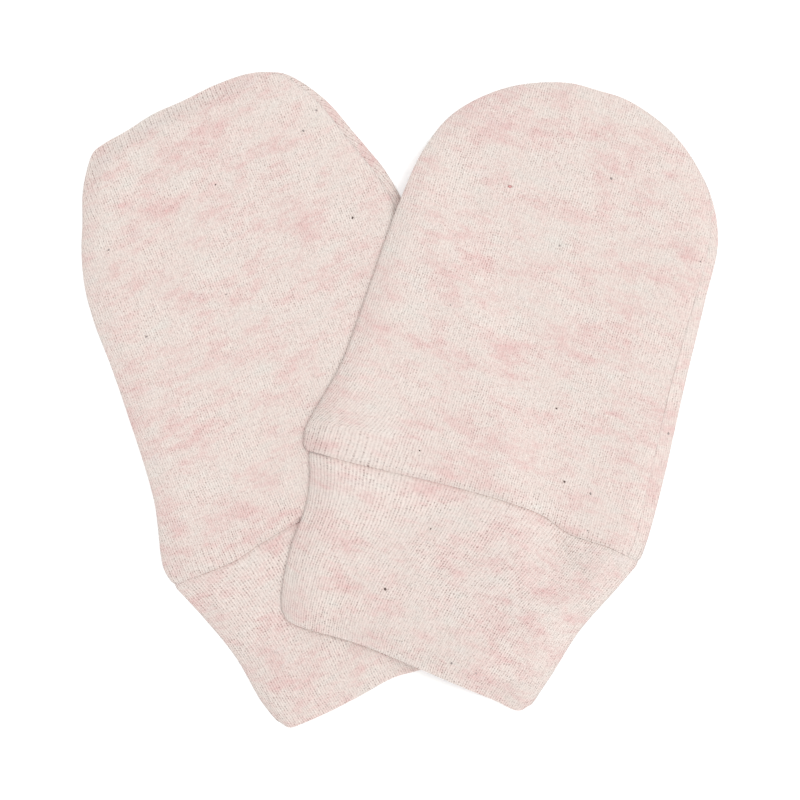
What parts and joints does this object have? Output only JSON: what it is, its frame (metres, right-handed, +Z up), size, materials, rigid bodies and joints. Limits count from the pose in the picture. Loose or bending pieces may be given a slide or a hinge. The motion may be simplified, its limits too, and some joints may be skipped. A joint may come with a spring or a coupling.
{
  "type": "pair of baby mittens",
  "caption": "Pair of thumbless baby mittens in fine knit, each with a doubled rib cuff, laid flat with one lying partly on the other.",
  "frame": {"origin": "on the resting surface, under the middle of the pair's bounding box", "axes": "+Z up, off the surface; +Y from the hems of the cuffs to the finger ends; +X to the right, seen from above with the finger ends away"},
  "size_m": [0.1518, 0.1558, 0.0093],
  "materials": {
    "hand_knit": "matt fine interlock knit, cream with pink and grey flecks",
    "cuff_rib": "matt fine rib knit, folded double, cream with pink and grey flecks"
  },
  "bodies": {
    "root": {"lower_mitten_face_panel": "hand_knit", "lower_mitten_back_panel": "hand_knit", "lower_mitten_cuff": "cuff_rib", "upper_mitten_face_panel": "hand_knit", "upper_mitten_back_panel": "hand_knit", "upper_mitten_cuff": "cuff_rib"}
  },
  "joints": []
}
